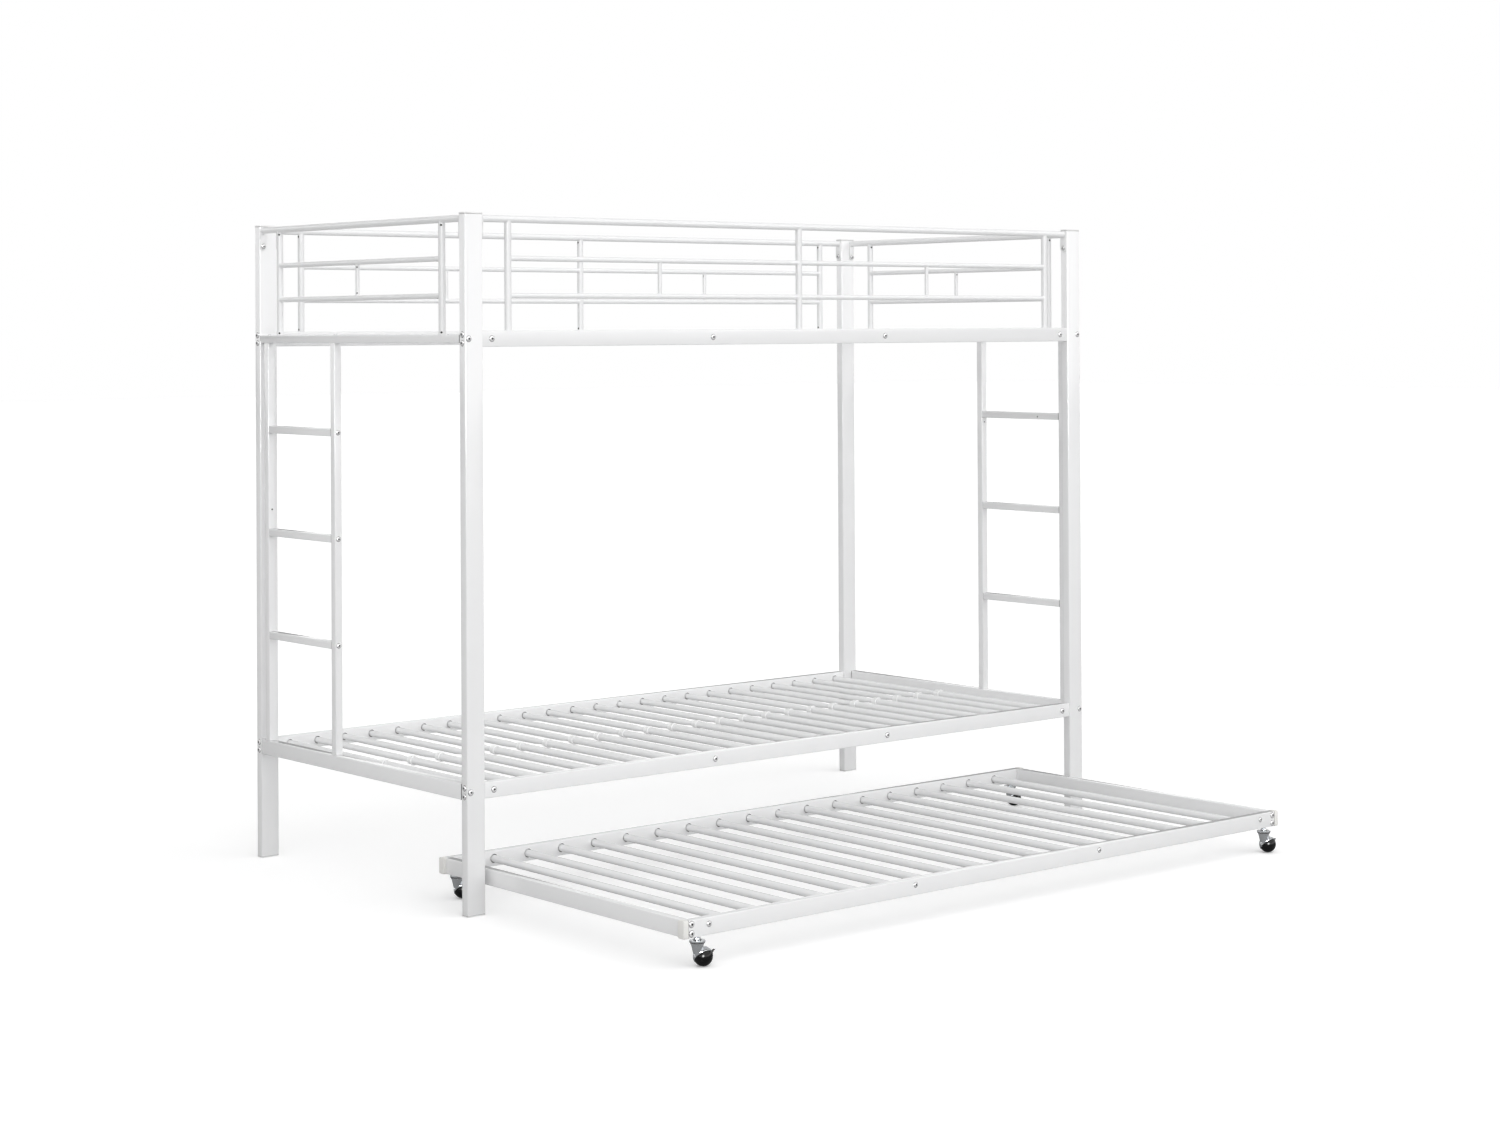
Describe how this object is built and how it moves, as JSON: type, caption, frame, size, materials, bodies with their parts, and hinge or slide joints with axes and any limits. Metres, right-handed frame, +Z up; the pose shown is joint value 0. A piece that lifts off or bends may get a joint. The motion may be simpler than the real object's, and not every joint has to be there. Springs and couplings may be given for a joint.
{
  "type": "bunk bed with trundle",
  "caption": "White tubular steel bunk bed with guards around the upper berth, end ladders and a pull-out trundle on ball casters.",
  "frame": {"origin": "on the floor, under the middle of the whole with the trundle pulled out as it is at rest", "axes": "+X along the bed to the right seen from the trundle's side, +Y from the trundle's side to the back, +Z up"},
  "size_m": [2.085, 1.7186, 1.6383],
  "materials": {
    "powder_coat": "satin powder coat",
    "ivory_plastic": "moulded, matt",
    "chrome": "bright plated",
    "black_wheel": "gloss",
    "black_lever": "gloss black"
  },
  "bodies": {
    "bed": {"post_front_left": "powder_coat", "post_cap_front_left": "ivory_plastic", "foot_plug_front_left": "ivory_plastic", "post_front_right": "powder_coat", "post_cap_front_right": "ivory_plastic", "foot_plug_front_right": "ivory_plastic", "post_back_left": "powder_coat", "post_cap_back_left": "ivory_plastic", "foot_plug_back_left": "ivory_plastic", "post_back_right": "powder_coat", "post_cap_back_right": "ivory_plastic", "foot_plug_back_right": "ivory_plastic", "lower_rail_front": "powder_coat", "lower_rail_back": "powder_coat", "lower_end_rail_left": "powder_coat", "lower_end_rail_right": "powder_coat", "upper_rail_front": "powder_coat", "upper_rail_back": "powder_coat", "upper_end_rail_left": "powder_coat", "upper_end_rail_right": "powder_coat", "guard_front": "powder_coat", "guard_back": "powder_coat", "guard_left": "powder_coat", "guard_right": "powder_coat", "ladder_left_outer_stile": "powder_coat", "ladder_left_inner_stile": "powder_coat", "ladder_left_rung_low": "powder_coat", "ladder_left_rung_middle": "powder_coat", "ladder_left_rung_high": "powder_coat", "ladder_right_outer_stile": "powder_coat", "ladder_right_inner_stile": "powder_coat", "ladder_right_rung_low": "powder_coat", "ladder_right_rung_middle": "powder_coat", "ladder_right_rung_high": "powder_coat"},
    "trundle": {"trundle_rail_front": "powder_coat", "trundle_rail_back": "powder_coat", "trundle_end_rail_left": "powder_coat", "trundle_end_rail_right": "powder_coat", "trundle_cap_front_left": "ivory_plastic", "trundle_cap_front_right": "ivory_plastic", "trundle_cap_back_left": "ivory_plastic", "trundle_cap_back_right": "ivory_plastic", "caster_stem_front_left": "chrome", "caster_stem_front_right": "chrome", "caster_stem_back_left": "chrome", "caster_stem_back_right": "chrome"},
    "swivel_front_left": {"caster_hood_front_left": "chrome"},
    "wheel_front_left": {"caster_wheel_front_left": "black_wheel"},
    "brake_front_left": {"brake_lever_front_left": "black_lever"},
    "swivel_front_right": {"caster_hood_front_right": "chrome"},
    "wheel_front_right": {"caster_wheel_front_right": "black_wheel"},
    "brake_front_right": {"brake_lever_front_right": "black_lever"},
    "swivel_back_left": {"caster_hood_back_left": "chrome"},
    "wheel_back_left": {"caster_wheel_back_left": "black_wheel"},
    "swivel_back_right": {"caster_hood_back_right": "chrome"},
    "wheel_back_right": {"caster_wheel_back_right": "black_wheel"}
  },
  "joints": [
    {"name": "trundle_slide", "type": "slide", "parent": "bed", "child": "trundle", "axis": [0, 1, 0], "range_m": [-0.25, 0.735]},
    {"name": "swivel_front_left", "type": "hinge", "parent": "trundle", "child": "swivel_front_left", "pos_m": [-0.942, -0.83825, 0.0515], "axis": [0, 0, 1], "continuous": true},
    {"name": "roll_front_left", "type": "hinge", "parent": "swivel_front_left", "child": "wheel_front_left", "pos_m": [-0.926, -0.83825, 0.021], "axis": [0, 0.7071, 0.7071], "continuous": true},
    {"name": "brake_front_left", "type": "hinge", "parent": "swivel_front_left", "child": "brake_front_left", "pos_m": [-0.90241, -0.83825, 0.02866], "axis": [0, 1, 0], "range_deg": [0, 10]},
    {"name": "swivel_front_right", "type": "hinge", "parent": "trundle", "child": "swivel_front_right", "pos_m": [0.942, -0.83825, 0.0515], "axis": [0, 0, 1], "continuous": true},
    {"name": "roll_front_right", "type": "hinge", "parent": "swivel_front_right", "child": "wheel_front_right", "pos_m": [0.958, -0.83825, 0.021], "axis": [0, 0.7071, 0.7071], "continuous": true},
    {"name": "brake_front_right", "type": "hinge", "parent": "swivel_front_right", "child": "brake_front_right", "pos_m": [0.98159, -0.83825, 0.02866], "axis": [0, 1, 0], "range_deg": [0, 10]},
    {"name": "swivel_back_left", "type": "hinge", "parent": "trundle", "child": "swivel_back_left", "pos_m": [-0.942, 0.07675, 0.0515], "axis": [0, 0, 1], "continuous": true},
    {"name": "roll_back_left", "type": "hinge", "parent": "swivel_back_left", "child": "wheel_back_left", "pos_m": [-0.926, 0.07675, 0.021], "axis": [0, 0.7071, 0.7071], "continuous": true},
    {"name": "swivel_back_right", "type": "hinge", "parent": "trundle", "child": "swivel_back_right", "pos_m": [0.942, 0.07675, 0.0515], "axis": [0, 0, 1], "continuous": true},
    {"name": "roll_back_right", "type": "hinge", "parent": "swivel_back_right", "child": "wheel_back_right", "pos_m": [0.958, 0.07675, 0.021], "axis": [0, 0.7071, 0.7071], "continuous": true}
  ]
}
